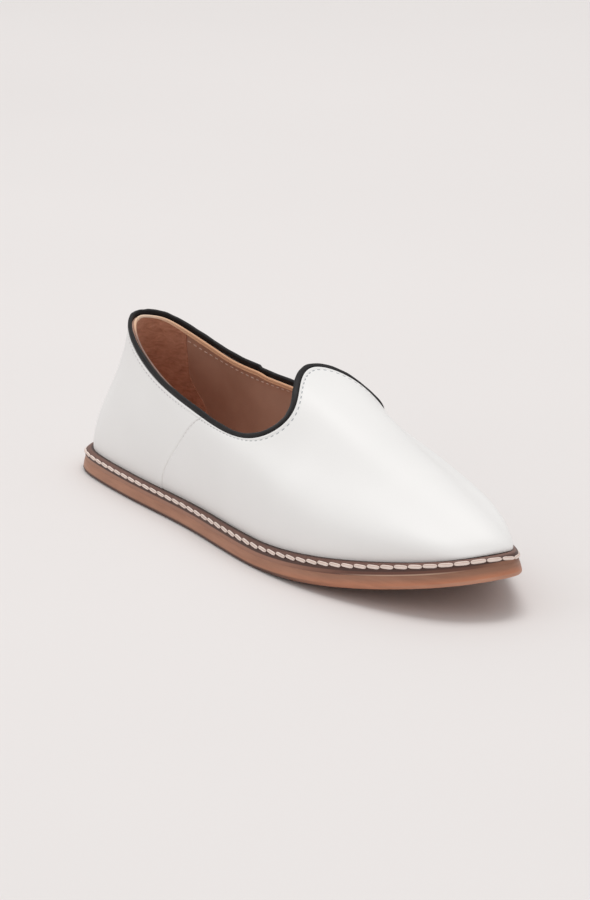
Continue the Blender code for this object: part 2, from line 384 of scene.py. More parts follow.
# Camera: the photograph's angle to the shoe, with the point on the floor that it looks at
CAMERA_AZIMUTH = math.radians(54.5)
CAMERA_ELEVATION = math.radians(16.1)
CAMERA_DISTANCE = 1.45
CAMERA_LENS = 142.4
CAMERA_SENSOR = 36
CAMERA_AIM = (-0.0892, 0.0633, 0.0)

# Light: a pale surround, and softboxes whose directions from the shoe are given as the camera sees them
SURROUND_COLOUR = (1.0, 0.993, 0.984, 1.0)
SURROUND_STRENGTH = 0.66
SOFTBOX_COLOUR = (1.0, 0.99, 0.98)
SOFTBOX_DISTANCE = 4.0
SoftboxRow = namedtuple("SoftboxRow", "name towards right up size power")
SOFTBOXES = (
    SoftboxRow("key_softbox", -0.08, 0.03, 0.95, 2.1, 61),
    SoftboxRow("fill_softbox", 0.30, -0.90, 0.45, 2.6, 9),
)
FLOOR_REACH = 6.0


# Curves and outlines


def unit(vectors):
    """The vectors at length one."""
    return vectors / np.linalg.norm(vectors, axis=-1, keepdims=True)


def evenly(count, whole):
    """Evenly spaced values round a closed path, from 0 towards the whole."""
    return np.arange(count) * whole / count


def smooth_step(values):
    """0 below 0, 1 above 1, and a soft ramp between."""
    held = np.clip(values, 0, 1)
    return held * held * (3 - 2 * held)


def hump(values, middle, reach):
    """A soft bump, 1 at its middle and fading over its reach on both sides."""
    return np.exp(-(((values - middle) / reach) ** 2))


def periodic_spline(values, places):
    """Smooth closed curve through equally spaced rows of values, read at places counted in rows."""
    rows = np.asarray(values, float)
    count = len(rows)
    matrix = 4 * np.eye(count) + np.roll(np.eye(count), 1, 0) + np.roll(np.eye(count), -1, 0)
    bends = np.linalg.solve(matrix, 6 * (np.roll(rows, -1, 0) - 2 * rows + np.roll(rows, 1, 0)))
    places = np.asarray(places, float) % count
    start = np.floor(places).astype(int) % count
    end = (start + 1) % count
    after = (places - np.floor(places)).reshape(-1, *[1] * (rows.ndim - 1))
    before = 1 - after
    straight = before * rows[start] + after * rows[end]
    return straight + ((before**3 - before) * bends[start] + (after**3 - after) * bends[end]) / 6


def outline_half_widths(angles):
    """Half width of the sole at each angle, above 0 on the lateral side and below 0 on the medial."""
    lateral = [row.lateral for row in OUTLINE]
    medial = [row.medial for row in OUTLINE]
    signed = lateral + [-width for width in medial[-2:0:-1]]
    step = OUTLINE[1].angle - OUTLINE[0].angle
    return BALL_WIDTH * periodic_spline(signed, np.asarray(angles, float) / step)


def outline(angles, inset=0.0):
    """Plan points of the sole's edge at angles in degrees, moved inwards by an inset."""
    angles = np.asarray(angles, float)

    def edge(at):
        along = SOLE_LENGTH / 2 * (1 - np.cos(np.radians(at)))
        return np.stack([along, -outline_half_widths(at)], -1)

    tangent = edge(angles + ANGLE_STEP) - edge(angles - ANGLE_STEP)
    inward = unit(np.stack([-tangent[:, 1], tangent[:, 0]], -1))
    return edge(angles) + inset * inward


def bottom_height(along):
    """Height of the outsole's underside over the floor: flat, then rising to the toe."""
    share = np.clip((along / SOLE_LENGTH - SPRING_START) / (1 - SPRING_START), 0, None)
    return TOE_SPRING * share**SPRING_POWER


def raised(flat, height):
    """Plan points on the outsole's underside, moved up by a height and back with its slope."""
    half = LENGTH_STEP / 2
    slope = (bottom_height(flat[:, 0] + half) - bottom_height(flat[:, 0] - half)) / LENGTH_STEP
    back = SIDE_LEAN * slope * height
    return np.column_stack([flat[:, 0] - back, flat[:, 1], bottom_height(flat[:, 0]) + height])


def sole_ring(angles, inset, height):
    """Points round the sole, inside its outline and over the outsole's underside."""
    return raised(outline(angles, inset), height)


def signed_ribs():
    """The rib table once round the shoe: heel end, lateral side, toe tip, medial side."""
    medial = []
    for row, top in zip(RIBS[-2:0:-1], reversed(MEDIAL_TOPS)):
        medial.append(row._replace(foot=360 - top.foot, top_across=-top.across, top_height=top.height))
    return list(RIBS) + medial


def foot_angles(places):
    """The outline's angle at the foot of the ribs at places counted in rows round the shoe."""
    rows = signed_ribs()
    turns = np.array([row.foot - 360 * k / len(rows) for k, row in enumerate(rows)])
    return periodic_spline(turns, places) + 360 * np.asarray(places, float) / len(rows)


def feather_inset(angles):
    """How far the upper's foot is inside the sole's outline: less at the medial side of the toe."""
    narrowing = hump(angles % 360, NARROW_WELT_ANGLE, NARROW_WELT_SPREAD)
    return (WELT_REACH - NARROW_WELT_CUT * narrowing)[:, None]


def rib_curves(places):
    """The four control points of the ribs at places counted in rows round the shoe."""
    table = periodic_spline([row[1:] for row in signed_ribs()], places)
    top_along, top_across, top_height, rise, lean, ahead, out, drop = table.T
    foot_angle = foot_angles(places)
    inset = feather_inset(foot_angle)
    flat_foot = outline(foot_angle, inset)
    outward = unit(flat_foot - outline(foot_angle, inset + LENGTH_STEP))
    foot = raised(flat_foot, UPPER_BASE)
    top = np.column_stack([SOLE_LENGTH * top_along, -BALL_WIDTH * top_across, BACK_HEIGHT * top_height])
    up = np.array([0.0, 0.0, 1.0])
    forward = np.array([1.0, 0.0, 0.0])
    sideways = np.column_stack([outward, np.zeros(len(outward))])
    low = foot + rise[:, None] * up + lean[:, None] * sideways
    high = top + ahead[:, None] * forward + out[:, None] * sideways - drop[:, None] * up
    return foot, low, high, top


def wall_points(places, shares):
    """Points of the upper's outer face, at grids of places round the shoe and shares of the way up."""
    foot, low, high, top = rib_curves(np.ravel(places))
    up = np.ravel(shares)[:, None]
    down = 1 - up
    points = down**3 * foot + 3 * down**2 * up * low + 3 * down * up**2 * high + up**3 * top
    return points.reshape(*np.shape(places), 3)


WallFrame = namedtuple("WallFrame", "points outward onward")


def wall_frames(places, shares):
    """Points of the outer face, with unit directions outwards and onwards up the wall."""
    step = 0.002
    along = wall_points(places + step, shares) - wall_points(places - step, shares)
    onward = wall_points(places, shares + step) - wall_points(places, shares - step)
    outward = unit(np.cross(along, onward))
    return WallFrame(wall_points(places, shares), outward, unit(np.cross(outward, along)))


def wall_paces(places):
    """Metres that one share of the wall's height covers at the foot and at the rim."""
    foot, low, high, top = rib_curves(np.ravel(places))
    at_foot = 3 * np.linalg.norm(low - foot, axis=-1)
    at_rim = 3 * np.linalg.norm(top - high, axis=-1)
    return at_foot.reshape(np.shape(places)), at_rim.reshape(np.shape(places))


def within(places, span):
    """1 inside a stretch round the shoe and 0 outside it, with soft ends."""
    places = places % PLACES
    started = smooth_step((places - span.start) / span.rise)
    return started * (1 - smooth_step((places - span.end) / span.fall))


def waves_at(places, waves):
    """The sum of small waves at places round the shoe."""
    turn = 2 * math.pi * places / PLACES
    return sum(wave.size * np.sin(wave.count * turn + wave.start) for wave in waves)


def rounded_section(turn, width, height, squareness):
    """A rounded oblong: how far outwards and upwards from its middle its edge is, at turns round it."""
    across = np.sign(np.cos(turn)) * np.abs(np.cos(turn)) ** (2 / squareness)
    upright = np.sign(np.sin(turn)) * np.abs(np.sin(turn)) ** (2 / squareness)
    return width / 2 * across, height / 2 * upright


def from_heel(places):
    """How many places away from the heel's middle, on either side of the shoe."""
    return np.minimum(places, PLACES - places)


def seam_place(shares):
    """Place of the lateral quarter seam at shares of the wall's height."""
    return SEAM_FOOT + SEAM_SWING * np.clip(shares, 0, 1) ** SEAM_BEND


# Meshes


def shoe_middle():
    """The plan point under the middle of the sole, which the origin is at."""
    sole = sole_ring(evenly(SOLE_ANGLES, 360), -SOLE_FLARE, FLARE_HEIGHT)[:, :2]
    return (sole.min(0) + sole.max(0)) / 2


def band_faces(rows, columns, closed=False):
    """Faces between rows of points, each closed on itself, and from the last row to the first if closed."""
    faces = []
    for row in range(rows if closed else rows - 1):
        low = row * columns
        high = (row + 1) % rows * columns
        for k in range(columns):
            after = (k + 1) % columns
            faces.append((low + k, low + after, high + after, high + k))
    return faces


def ring_body(grid):
    """Points and faces of a ring-shaped body, from a grid that closes in both directions."""
    return grid.reshape(-1, 3), band_faces(*grid.shape[:2], closed=True)


def patch_body(face, back):
    """Points and faces of a thin patch, closed round its edge, from the grids of its two sides."""
    columns, rows = face.shape[:2]
    count = columns * rows
    faces = []
    for i in range(columns - 1):
        for j in range(rows - 1):
            corners = (i * rows + j, (i + 1) * rows + j, (i + 1) * rows + j + 1, i * rows + j + 1)
            faces.append(corners)
            faces.append(tuple(count + corner for corner in reversed(corners)))
    rim = [i * rows for i in range(columns)]
    rim += [(columns - 1) * rows + j for j in range(1, rows)]
    rim += [i * rows + rows - 1 for i in range(columns - 2, -1, -1)]
    rim += list(range(rows - 2, 0, -1))
    for start, end in zip(rim, rim[1:] + rim[:1]):
        faces.append((end, start, count + start, count + end))
    return np.concatenate([face.reshape(-1, 3), back.reshape(-1, 3)]), faces


def strip_faces(first, count):
    """Faces across a ring of the sole, from its lateral to its medial side."""
    faces = []
    for k in range(count // 2):
        strip = [k, k + 1, (count - k - 1) % count, (count - k) % count]
        faces.append(tuple(first + corner for corner in dict.fromkeys(strip)))
    return faces


def layer_body(profile):
    """Points and faces of a sole layer with a rounded edge, closed below and above."""
    angles = evenly(SOLE_COLUMNS, 360)
    rise = WELT_RISE * hump(angles, WELT_RISE_ANGLE, WELT_RISE_SPREAD)
    rings = [sole_ring(angles, edge.inset, edge.height + edge.rise * rise) for edge in profile]
    faces = band_faces(len(rings), SOLE_COLUMNS)
    faces += [tuple(reversed(face)) for face in strip_faces(0, SOLE_COLUMNS)]
    faces += strip_faces((len(rings) - 1) * SOLE_COLUMNS, SOLE_COLUMNS)
    return np.concatenate(rings), faces


def sole_turns():
    """How far round the sole each of its columns is: 0 at the heel end and 1 at the toe tip."""
    return 1 - np.abs(evenly(SOLE_COLUMNS, 360) - 180) / 180


def add_piece(name, body, material, slot, replaced=None, sharp=40, **marks):
    """One closed piece of the shoe, which rides with it. Marks are values at its points for its material."""
    points, faces = body
    mesh = bpy.data.meshes.new(name)
    mesh.from_pydata((points - [*shoe_middle(), 0.0]).tolist(), [], faces)
    shape = bmesh.new()
    shape.from_mesh(mesh)
    bmesh.ops.recalc_face_normals(shape, faces=shape.faces)
    shape.to_mesh(mesh)
    shape.free()
    for mark, values in marks.items():
        layer = mesh.attributes.new(mark, "FLOAT", "POINT")
        layer.data.foreach_set("value", np.asarray(values, np.float32))
    mesh.shade_smooth()
    mesh.set_sharp_from_angle(angle=math.radians(sharp))
    mesh.materials.append(material)
    piece = bpy.data.objects.new(name, mesh)
    bpy.context.scene.collection.objects.link(piece)
    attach(piece, "root")
    if replaced:
        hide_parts(replaced)
    return piece


# Materials


def srgb(red, green, blue):
    """A colour given in 8-bit display values, as the linear colour that shaders take."""
    shares = np.array([red, green, blue]) / 255
    linear = np.where(shares <= 0.04045, shares / 12.92, ((shares + 0.055) / 1.055) ** 2.4)
    return (*linear.tolist(), 1.0)


def new_material(name, roughness, **sockets):
    """A material with one main shader, whose constant values are set on its sockets."""
    material = bpy.data.materials.new(name)
    material.use_nodes = True
    shader = material.node_tree.nodes["Principled BSDF"]
    shader.inputs["Roughness"].default_value = roughness
    for socket, value in sockets.items():
        shader.inputs[socket.replace("_", " ")].default_value = value
    return material, material.node_tree, shader


def stretched_place(tree, stretch=(1.0, 1.0, 1.0)):
    """The place in the shoe's frame, scaled along its axes."""
    place = tree.nodes.new("ShaderNodeTexCoord")
    mapping = tree.nodes.new("ShaderNodeMapping")
    mapping.inputs["Scale"].default_value = stretch
    tree.links.new(place.outputs["Object"], mapping.inputs["Vector"])
    return mapping.outputs["Vector"]


def noise(tree, scale, detail=3.0, rough=0.5, stretch=(1.0, 1.0, 1.0), twist=0.0):
    """Cloudy noise, 0 to 1, with about scale lumps a metre."""
    texture = tree.nodes.new("ShaderNodeTexNoise")
    texture.inputs["Scale"].default_value = scale
    texture.inputs["Detail"].default_value = detail
    texture.inputs["Roughness"].default_value = rough
    texture.inputs["Distortion"].default_value = twist
    tree.links.new(stretched_place(tree, stretch), texture.inputs["Vector"])
    return texture.outputs["Fac"]


def pebbles(tree, scale, stretch=(1.0, 1.0, 1.0)):
    """Rounded cells of leather grain, with about scale cells a metre."""
    texture = tree.nodes.new("ShaderNodeTexVoronoi")
    texture.feature = "SMOOTH_F1"
    texture.inputs["Scale"].default_value = scale
    tree.links.new(stretched_place(tree, stretch), texture.inputs["Vector"])
    return texture.outputs["Distance"]


def marked(tree, name):
    """A value that is stored at the piece's points."""
    node = tree.nodes.new("ShaderNodeAttribute")
    node.attribute_name = name
    return node.outputs["Fac"]


def ramp(tree, factor, *stops):
    """Colours over a factor, from stops of a place and a colour."""
    node = tree.nodes.new("ShaderNodeValToRGB")
    elements = node.color_ramp.elements
    while len(elements) < len(stops):
        elements.new(0.5)
    for element, (place, colour) in zip(elements, stops):
        element.position = place
        element.color = colour
    tree.links.new(factor, node.inputs["Fac"])
    return node.outputs["Color"]


def spread(tree, value, low=0.0, high=1.0, start=0.0, end=1.0):
    """A value as low at its start and high at its end, held outside them."""
    node = tree.nodes.new("ShaderNodeMapRange")
    limits = {"From Min": start, "From Max": end, "To Min": low, "To Max": high}
    for name, limit in limits.items():
        node.inputs[name].default_value = limit
    tree.links.new(value, node.inputs["Value"])
    return node.outputs["Result"]


def mixed(tree, factor, first, second):
    """Two colour outputs mixed by a factor output."""
    node = tree.nodes.new("ShaderNodeMix")
    node.data_type = "RGBA"
    tree.links.new(factor, node.inputs[0])
    tree.links.new(first, node.inputs[6])
    tree.links.new(second, node.inputs[7])
    return node.outputs[2]


def multiplied(tree, colour, tint):
    """A colour output darkened by a tint output."""
    node = tree.nodes.new("ShaderNodeMix")
    node.data_type = "RGBA"
    node.blend_type = "MULTIPLY"
    node.inputs[0].default_value = 1.0
    tree.links.new(colour, node.inputs[6])
    tree.links.new(tint, node.inputs[7])
    return node.outputs[2]


def bump(tree, height, strength, distance, under=None):
    """Fine relief over an earlier one."""
    node = tree.nodes.new("ShaderNodeBump")
    node.inputs["Strength"].default_value = strength
    node.inputs["Distance"].default_value = distance
    tree.links.new(height, node.inputs["Height"])
    if under:
        tree.links.new(under, node.inputs["Normal"])
    return node.outputs["Normal"]


def finish_shader(tree, shader, colour, rough, normal):
    """Links a material's colour, roughness and relief."""
    tree.links.new(colour, shader.inputs["Base Color"])
    tree.links.new(rough, shader.inputs["Roughness"])
    tree.links.new(normal, shader.inputs["Normal"])


def tinted(tree, factor, middle, change):
    """A colour given in display values, a little darker and lighter with a factor."""
    dark = srgb(*[part - change for part in middle])
    light = srgb(*[part + change for part in middle])
    return ramp(tree, factor, (0.30, dark), (0.70, light))


def white_leather():
    """Smooth satin white leather with a very fine grain."""
    material, tree, shader = new_material("white_leather_look", 0.5, Coat_Weight=0.05, Coat_Roughness=0.35)
    colour = tinted(tree, noise(tree, 22, 2.0), (241, 240, 239), 2)
    rough = spread(tree, noise(tree, 60, 2.0), 0.46, 0.55)
    pores = bump(tree, noise(tree, 3200, 2.0), 0.05, 0.0002)
    grain = bump(tree, pebbles(tree, 1300), 0.05, 0.0002, pores)
    finish_shader(tree, shader, colour, rough, grain)
    return material


def black_leather():
    """Black binding leather, with a painted grey sheen where it runs down the tongue."""
    material, tree, shader = new_material("black_leather_look", 0.5, Specular_IOR_Level=0.22)
    fine = noise(tree, 260, 4.0)
    black = tinted(tree, fine, (27, 25, 26), 6)
    grey = tinted(tree, fine, (80, 79, 80), 7)
    # Painted sheen: the grey is mixed in where the points are marked, standing in for a highlight along the
    # roll
    colour = mixed(tree, marked(tree, "rubbed"), black, grey)
    rough = spread(tree, noise(tree, 420, 3.0), 0.44, 0.58)
    creases = bump(tree, noise(tree, 700, 3.0), 0.12, 0.0003)
    grain = bump(tree, pebbles(tree, 1700), 0.15, 0.0003, creases)
    finish_shader(tree, shader, colour, rough, grain)
    return material


def brown_lining():
    """Smooth brown lining leather, slightly cloudy."""
    material, tree, shader = new_material("brown_lining_look", 0.55, Coat_Weight=0.04, Coat_Roughness=0.4)
    colour = tinted(tree, noise(tree, 70, 4.0), (198, 155, 134), 7)
    rough = spread(tree, noise(tree, 150, 3.0), 0.48, 0.62)
    grain = bump(tree, pebbles(tree, 1500), 0.10, 0.0003)
    finish_shader(tree, shader, colour, rough, grain)
    return material


def brushed_suede():
    """Reddish brown suede with streaks of brushed nap."""
    material, tree, shader = new_material("brushed_suede_look", 0.95, Sheen_Weight=0.15, Sheen_Roughness=0.5)
    broad = noise(tree, 90, 5.0, 0.6, (1.0, 1.0, 0.5))
    streaks = noise(tree, 430, 4.0, 0.65, (0.55, 0.55, 1.2), 0.8)
    dark = tinted(tree, streaks, (193, 132, 105), 20)
    light = tinted(tree, streaks, (220, 160, 130), 20)
    colour = mixed(tree, broad, dark, light)
    rough = spread(tree, broad, 0.88, 1.0)
    brushed = bump(tree, streaks, 0.25, 0.0006)
    nap = bump(tree, noise(tree, 1600, 4.0, 0.7), 0.35, 0.0005, brushed)
    finish_shader(tree, shader, colour, rough, nap)
    return material


def raw_edge():
    """Cut edge of the lining: two plies with a brown line between, cream at the heel, with painted shade on
    one side. The lower ply is lighter, partly its own tone and partly a painted highlight for the light on
    its top.
    """
    material, tree, shader = new_material("raw_edge_look", 0.85)
    # The lower ply is lighter, partly its own tone and partly a painted highlight for the light its top
    # catches
    plies = ramp(
        tree,
        marked(tree, "level"),
        (0.30, srgb(252, 203, 164)),
        (0.48, srgb(246, 195, 154)),
        (0.58, srgb(198, 142, 106)),
        (0.66, srgb(226, 174, 137)),
    )
    cream = tinted(tree, noise(tree, 500, 4.0), (240, 212, 188), 6)
    colour = mixed(tree, marked(tree, "heel"), plies, cream)
    # Painted shade: the lateral side's edge is greyed where it lies in shadow
    lateral_shade = tinted(tree, noise(tree, 500, 4.0), (150, 122, 112), 6)
    colour = mixed(tree, marked(tree, "shaded_side"), colour, lateral_shade)
    rough = spread(tree, noise(tree, 300), 0.80, 0.92)
    fibres = bump(tree, noise(tree, 2200, 4.0, 0.7), 0.25, 0.0003)
    finish_shader(tree, shader, colour, rough, fibres)
    return material


def welt_leather():
    """Welt leather: its side goes from the rubber's colour to red-brown, its top is dull brown. Shade under
    its stitches and in the crease along the upper is painted dark, and its lower line has a painted pale
    highlight at the toe.
    """
    material, tree, shader = new_material("welt_leather_look", 0.55, Coat_Weight=0.04, Coat_Roughness=0.4)
    fine = noise(tree, 380, 5.0, 0.65, (0.35, 0.35, 1.6))
    side = ramp(
        tree,
        marked(tree, "turn"),
        (0.00, srgb(167, 122, 99)),
        (0.62, srgb(158, 112, 91)),
        (0.72, srgb(104, 64, 51)),
        (0.92, srgb(108, 68, 53)),
        (0.98, srgb(146, 102, 79)),
    )
    shadow = ramp(tree, fine, (0.30, srgb(64, 38, 30)), (0.70, srgb(88, 56, 46)))
    top = tinted(tree, fine, (112, 78, 67), 9)
    # Painted shade in the crease where the welt meets the upper
    crease_shade = tinted(tree, fine, (66, 42, 36), 6)
    tone = marked(tree, "tone")
    # Painted pale highlight on the welt's lower line at the toe, where the edge catches light
    line = ramp(
        tree,
        marked(tree, "turn"),
        (0.00, srgb(167, 122, 99)),
        (0.62, srgb(158, 112, 91)),
        (0.70, srgb(104, 64, 51)),
        (0.76, srgb(186, 152, 130)),
        (0.84, srgb(186, 152, 130)),
        (0.91, srgb(146, 102, 80)),
    )
    colour = mixed(tree, spread(tree, tone, start=0.0, end=-1.0), side, line)
    colour = mixed(tree, spread(tree, tone, start=0.0, end=1.0), colour, shadow)
    colour = mixed(tree, spread(tree, tone, start=1.0, end=2.0), colour, top)
    colour = mixed(tree, spread(tree, tone, start=2.0, end=3.0), colour, crease_shade)
    rough = spread(tree, fine, 0.46, 0.64)
    fibres = bump(tree, fine, 0.22, 0.0004)
    grain = bump(tree, pebbles(tree, 1100), 0.16, 0.0003, fibres)
    finish_shader(tree, shader, colour, rough, grain)
    return material


def caramel_rubber():
    """Caramel rubber with faint streaks: orange low at the toe. Its lower lip has a painted dark contact
    shadow, which turns to a painted pale highlight at the toe.
    """
    material, tree, shader = new_material("caramel_rubber_look", 0.5, Coat_Weight=0.05, Coat_Roughness=0.45)
    turn = marked(tree, "turn")
    level = marked(tree, "level")
    heel = srgb(184, 132, 104)
    middle = srgb(180, 127, 100)
    upper = ramp(tree, turn, (0.0, heel), (0.5, middle), (0.95, srgb(162, 116, 92)))
    lower = ramp(tree, turn, (0.0, heel), (0.5, middle), (0.80, srgb(202, 132, 98)))
    # Painted light on the lower lip: a dark contact shadow from the heel to the waist, a pale highlight at
    # the toe
    lip_shadow_and_highlight = ramp(
        tree,
        turn,
        (0.0, srgb(86, 50, 38)),
        (0.60, srgb(84, 50, 38)),
        (0.70, srgb(190, 126, 95)),
        (0.90, srgb(208, 152, 125)),
    )
    colour = mixed(tree, spread(tree, level, start=0.35, end=0.75), lower, upper)
    colour = mixed(tree, spread(tree, level, start=0.35, end=0.24), colour, lip_shadow_and_highlight)
    streaks = noise(tree, 240, 5.0, 0.6, (0.25, 0.25, 2.2))
    tint = ramp(tree, streaks, (0.25, srgb(220, 215, 212)), (0.75, srgb(255, 255, 255)))
    colour = multiplied(tree, colour, tint)
    rough = spread(tree, noise(tree, 300, 3.0), 0.42, 0.58)
    scratches = bump(tree, streaks, 0.12, 0.0003)
    grain = bump(tree, noise(tree, 1800, 3.0), 0.14, 0.0003, scratches)
    finish_shader(tree, shader, colour, rough, grain)
    return material


def insole_leather():
    """Tan insole leather, a little polished by wear."""
    material, tree, shader = new_material("insole_leather_look", 0.55, Coat_Weight=0.05, Coat_Roughness=0.4)
    colour = tinted(tree, noise(tree, 40, 4.0), (164, 114, 86), 9)
    rough = spread(tree, noise(tree, 90, 3.0), 0.42, 0.62)
    grain = bump(tree, pebbles(tree, 1200), 0.14, 0.0003)
    finish_shader(tree, shader, colour, rough, grain)
    return material


def thread(name, plain, shaded):
    """Twisted thread, in its plain colour with a shade where its points are marked."""
    material, tree, shader = new_material(name, 0.7, Sheen_Weight=0.1)
    fine = noise(tree, 420, 4.0)
    colour = mixed(tree, marked(tree, "shade"), tinted(tree, fine, plain, 6), tinted(tree, fine, shaded, 6))
    rough = spread(tree, noise(tree, 600), 0.60, 0.78)
    plies = bump(tree, noise(tree, 1500, 3.0, 0.6, (0.5, 0.5, 1.5)), 0.30, 0.0003)
    finish_shader(tree, shader, colour, rough, plies)
    return material


def floor_paper():
    """Pale seamless paper."""
    material, tree, shader = new_material("floor_paper", 0.85)
    colour = tinted(tree, noise(tree, 3, 2.0), (232, 228, 227), 1)
    rough = spread(tree, noise(tree, 30), 0.80, 0.90)
    finish_shader(tree, shader, colour, rough, bump(tree, noise(tree, 900), 0.02, 0.0002))
    return material


# Upper


def leather_shares(columns):
    """Shares of the wall's height for each column's rows: close together at the foot and at the rim."""
    at_foot, at_rim = wall_paces(columns)
    low = np.array(FOOT_RISES)[None, :] / at_foot[:, None]
    high = 1 - np.array(RIM_DROPS[::-1])[None, :] / at_rim[:, None]
    between = np.linspace(0, 1, LEATHER_ROWS + 2)[None, 1:-1]
    middle = low[:, -1:] + (high[:, :1] - low[:, -1:]) * between
    return np.concatenate([low, middle, high], axis=1)


def leather_columns():
    """Places of the leather's columns, with some close together along both quarter seams."""
    even = evenly(LEATHER_COLUMNS, PLACES)
    close = np.array(SEAM_CLUSTER) / PLACE_PITCH
    seams = np.concatenate([SEAM_COLUMN + close, PLACES - SEAM_COLUMN + close])
    apart = np.abs(even[:, None] - seams[None, :]).min(1)
    return np.sort(np.concatenate([even[apart > COLUMN_CLEARANCE * PLACES / LEATHER_COLUMNS], seams]))


def seam_offsets(columns):
    """Metres behind the nearer quarter seam, towards the heel."""
    return (SEAM_COLUMN - from_heel(columns)) * PLACE_PITCH


def seam_warp(columns, shares):
    """Places of a grid whose columns are bent to run along the quarter seams."""
    bend = hump(from_heel(columns), SEAM_COLUMN, SEAM_SPREAD)[:, None]
    shift = (seam_place(shares) - SEAM_COLUMN) * bend
    side = np.where(columns < PLACES / 2, 1.0, -1.0)[:, None]
    return columns[:, None] + side * shift


def soft_relief(places, shares):
    """How far the leather's soft forms stand out from the plain wall."""
    relief = np.zeros(np.shape(places))
    for form in SOFT_FORMS:
        away = (places - form.place + PLACES / 2) % PLACES - PLACES / 2
        relief = relief + form.depth * hump(away, 0, form.reach) * hump(shares, form.share, form.lift)
    return relief


def leather_relief(places, shares, behind):
    """How far the leather stands out from the plain wall: seams, stitch groove, rim ridge and soft forms."""
    at_foot, at_rim = wall_paces(places)
    drop = (1 - shares) * at_rim
    rise = shares * at_foot
    relief = RIDGE_HEIGHT * hump(drop, RIDGE_DROP, ROW_SPREAD)
    relief = relief - STITCH_GROOVE * hump(drop, STITCH_DROP, ROW_SPREAD)
    tuck = FOOT_TUCK + BALL_TUCK * hump(places, BALL_TUCK_PLACE, BALL_TUCK_SPREAD)
    relief = relief - tuck * np.exp(-rise / FOOT_TUCK_REACH)
    lap = smooth_step(0.5 + behind / (2 * SEAM_SLOPE)) * np.exp(-np.clip(behind, 0, None) / SEAM_LAP_FADE)
    groove = hump(behind, 0, SEAM_GROOVE_SPREAD)
    relief = relief + (SEAM_LAP * lap - SEAM_GROOVE * groove)[:, None]
    return relief + soft_relief(places, shares)


def upper_leather():
    """White leather shell, with its quarter seams lapped."""
    columns = leather_columns()
    shares = leather_shares(columns)
    places = seam_warp(columns, shares)
    wall = wall_frames(places, shares)
    relief = leather_relief(places, shares, seam_offsets(columns))
    outer = wall.points + relief[..., None] * wall.outward
    inner = (wall.points - LEATHER_THICKNESS * wall.outward)[:, ::-INNER_ROW_STEP]
    grid = np.concatenate([outer, inner], axis=1)
    add_piece("upper_leather", ring_body(grid), white_leather(), "white_leather", "upper", sharp=50)


# Lining


def lip_height(places):
    """How far the lining's edge stands over the upper's rim: more on the lateral side and under the lap."""
    past = (places % PLACES - LAP_PLACE) / LAP_LENGTH
    lapped = smooth_step(1 + past / LAP_LEAD) * (1 - smooth_step(past))
    plain = LIP_MEDIAL + (LIP_LATERAL - LIP_MEDIAL) * within(places, LIP_SPAN)
    return plain + LIP_UNDER_LAP * LAP_HEIGHT * lapped


def edge_height(places):
    """Height of the lining's cut edge, which is broader on the medial side."""
    return EDGE_HEIGHT + (EDGE_HEIGHT_MEDIAL - EDGE_HEIGHT) * within(places, EDGE_BROAD)


def lip_flare(heights):
    """How far the lining leans inwards near its top."""
    return LIP_FLARE * smooth_step((heights + FLARE_START) / FLARE_START)


def lining_grid(places, heights, depth):
    """Points of the lining at places and heights under or over the rim, at a depth from the outer face."""
    at_rim = wall_paces(places)[1]
    shares = np.clip(1 + heights / at_rim, 0, 1)
    wall = wall_frames(places, shares)
    inwards = (depth + lip_flare(heights))[..., None] * wall.outward
    return wall.points - inwards + np.clip(heights, 0, None)[..., None] * wall.onward


def wall_heights(places, top, rows):
    """Heights of rows from the foot of the wall to a top over the rim, close together near the rim."""
    at_rim = wall_paces(places)[1]
    share = np.linspace(1, 0, rows) ** ROW_CROWDING
    return top[:, None] - (at_rim * LINING_REACH + top)[:, None] * share[None, :]


def lining():
    """Brown leather lining, which rises inside the binding to its cut edge."""
    places = evenly(LINING_COLUMNS, PLACES)
    top = np.maximum(lip_height(places) - EDGE_COVER * edge_height(places), LINING_TOP)
    heights = wall_heights(places, top, LINING_ROWS)
    grid = np.repeat(places[:, None], LINING_ROWS, 1)
    face = lining_grid(grid, heights, LINING_FACE)
    back = lining_grid(grid, heights, LINING_BACK)
    body = ring_body(np.concatenate([back, face[:, ::-1]], axis=1))
    add_piece("lining", body, brown_lining(), "brown_leather", sharp=50)


def heel_counter():
    """Suede counter inside the heel, laid over the lining."""
    along = np.linspace(-1, 1, COUNTER_COLUMNS)
    places = along * COUNTER_EDGE
    heights = wall_heights(places, lip_height(places) - COUNTER_DROP, COUNTER_ROWS)
    at_rim = wall_paces(places)[1]
    shares = np.clip(1 + heights / at_rim[:, None], 0, 1)
    edge = COUNTER_EDGE + COUNTER_SWING * smooth_step((COUNTER_SWING_TOP - shares) / COUNTER_SWING_SPREAD)
    edge = edge + COUNTER_TIP * smooth_step((shares - COUNTER_TIP_START) / COUNTER_TIP_SPREAD)
    grid = along[:, None] * edge
    back = lining_grid(grid, heights, LINING_FACE)
    face = lining_grid(grid, heights, LINING_FACE + COUNTER_THICKNESS)
    add_piece("heel_counter_lining", patch_body(face, back), brushed_suede(), "brown_leather", sharp=50)


